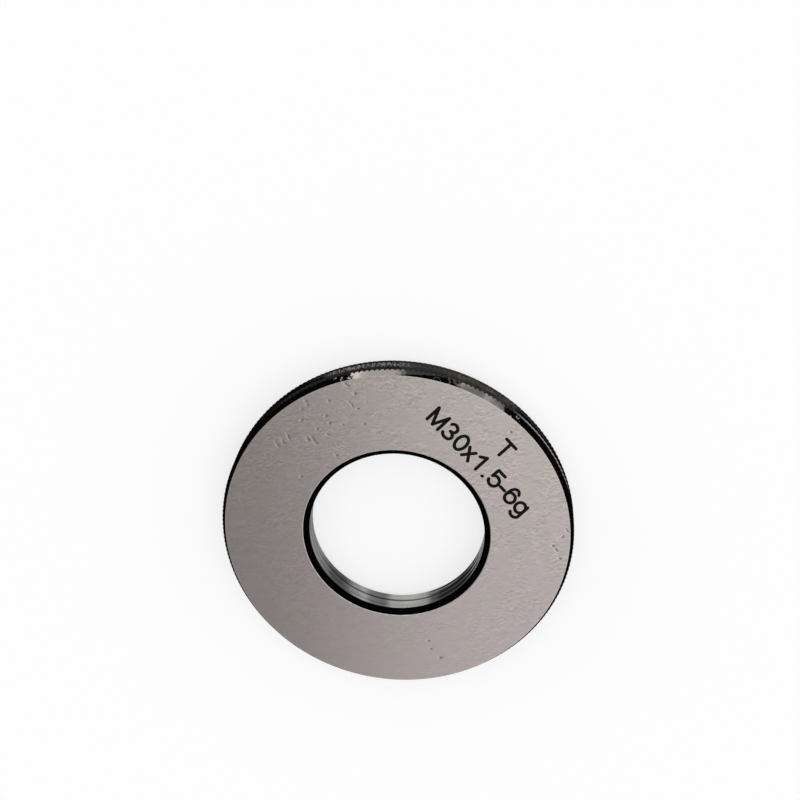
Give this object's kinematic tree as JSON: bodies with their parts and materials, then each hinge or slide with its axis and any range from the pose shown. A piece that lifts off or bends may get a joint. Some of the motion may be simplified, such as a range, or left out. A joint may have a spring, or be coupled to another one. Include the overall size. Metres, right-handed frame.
{
  "type": "thread ring gauge",
  "caption": "Flat round steel ring with a fine internal thread, countersunk at both faces, a bevelled and straight-knurled rim and ground faces.",
  "frame": {"origin": "middle of the plain rear face, on the bore axis", "axes": "+Z along the bore axis, out of the marked face; +X and +Y lie in the rear face"},
  "size_m": [0.057, 0.057, 0.0055],
  "materials": {
    "gauge_steel": "ground faces, dark polished bevels, knurled rim",
    "marking_black": "flat black marking on the upper face"
  },
  "bodies": {
    "root": {"ring_gauge": "gauge_steel"}
  },
  "joints": []
}
